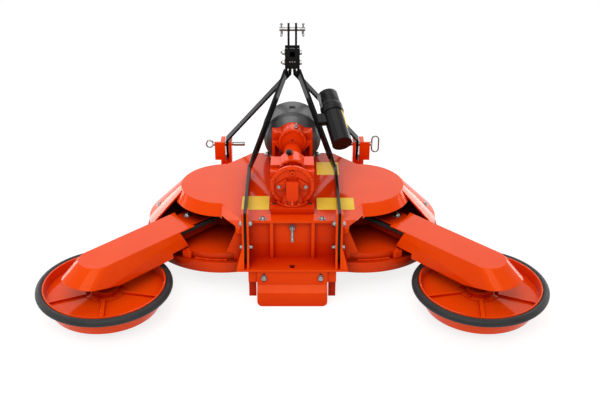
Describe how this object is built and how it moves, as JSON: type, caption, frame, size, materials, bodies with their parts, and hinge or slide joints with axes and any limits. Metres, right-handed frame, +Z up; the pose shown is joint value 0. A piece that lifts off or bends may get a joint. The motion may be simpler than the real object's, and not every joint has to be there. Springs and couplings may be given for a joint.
{
  "type": "rotary mower",
  "caption": "Tractor-mounted orchard mower with a wide rotor deck, a hitch frame and swing arms at the rear, each with a free-turning bumper disc over its own rotor.",
  "frame": {"origin": "middle of the footprint, on the ground", "axes": "+X to the machine's right, +Y forward to the tractor, +Z up"},
  "size_m": [2.1226, 1.3231, 0.975],
  "materials": {
    "orange_paint": "gloss",
    "black_paint": "satin",
    "steel": "satin",
    "black_plastic": "matte",
    "rubber": "matte"
  },
  "bodies": {
    "frame": {"deck_pan": "orange_paint", "hood": "orange_paint", "rear_frame": "orange_paint", "tension_bolt": "steel", "stay_brackets": "orange_paint", "stay_left": "black_paint", "stay_right": "black_paint", "mast_block": "black_paint", "top_clevis": "black_paint", "top_link_pin": "steel", "a_bar_left": "black_paint", "a_bar_right": "black_paint", "hitch_beam": "orange_paint", "hitch_bracket_left": "orange_paint", "hitch_bracket_right": "orange_paint", "hitch_pin_left": "steel", "hitch_pin_right": "steel", "gearbox_rear": "orange_paint", "gearbox_front": "orange_paint", "pto_guard": "black_plastic", "document_tube": "black_plastic", "tube_cap": "black_plastic", "rear_skid": "orange_paint", "skid_legs": "orange_paint", "post_left": "orange_paint", "post_right": "orange_paint"},
    "input": {"pto_shaft": "steel"},
    "arm_left": {"arm_beam_left": "orange_paint", "arm_cover_left": "orange_paint", "arm_belts_left": "rubber"},
    "guard_left": {"guard_disc_left": "orange_paint", "bumper_left": "rubber"},
    "disc_rotor_left": {"disc_rotor_left": "steel"},
    "main_rotor_left": {"main_rotor_left": "steel"},
    "arm_right": {"arm_beam_right": "orange_paint", "arm_cover_right": "orange_paint", "arm_belts_right": "rubber"},
    "guard_right": {"guard_disc_right": "orange_paint", "bumper_right": "rubber"},
    "disc_rotor_right": {"disc_rotor_right": "steel"},
    "main_rotor_right": {"main_rotor_right": "steel"}
  },
  "joints": [
    {"name": "input_spin", "type": "hinge", "parent": "frame", "child": "input", "pos_m": [0, 0.32012, 0.46], "axis": [0, 1, 0], "continuous": true},
    {"name": "arm_swing_left", "type": "hinge", "parent": "frame", "child": "arm_left", "pos_m": [-0.303, 0.11512, 0.2], "axis": [0, 0, 1], "range_deg": [0, 28]},
    {"name": "guard_spin_left", "type": "hinge", "parent": "arm_left", "child": "guard_left", "pos_m": [-0.77884, -0.37762, 0.1], "axis": [0, 0, 1], "continuous": true},
    {"name": "disc_rotor_spin_left", "type": "hinge", "parent": "arm_left", "child": "disc_rotor_left", "pos_m": [-0.77884, -0.37762, 0.1], "axis": [0, 0, 1], "continuous": true},
    {"name": "main_rotor_spin_left", "type": "hinge", "parent": "frame", "child": "main_rotor_left", "pos_m": [-0.303, 0.11512, 0.2], "axis": [0, 0, 1], "continuous": true},
    {"name": "arm_swing_right", "type": "hinge", "parent": "frame", "child": "arm_right", "pos_m": [0.303, 0.11512, 0.2], "axis": [0, 0, -1], "range_deg": [0, 28]},
    {"name": "guard_spin_right", "type": "hinge", "parent": "arm_right", "child": "guard_right", "pos_m": [0.77884, -0.37762, 0.1], "axis": [0, 0, 1], "continuous": true},
    {"name": "disc_rotor_spin_right", "type": "hinge", "parent": "arm_right", "child": "disc_rotor_right", "pos_m": [0.77884, -0.37762, 0.1], "axis": [0, 0, 1], "continuous": true},
    {"name": "main_rotor_spin_right", "type": "hinge", "parent": "frame", "child": "main_rotor_right", "pos_m": [0.303, 0.11512, 0.2], "axis": [0, 0, 1], "continuous": true}
  ]
}
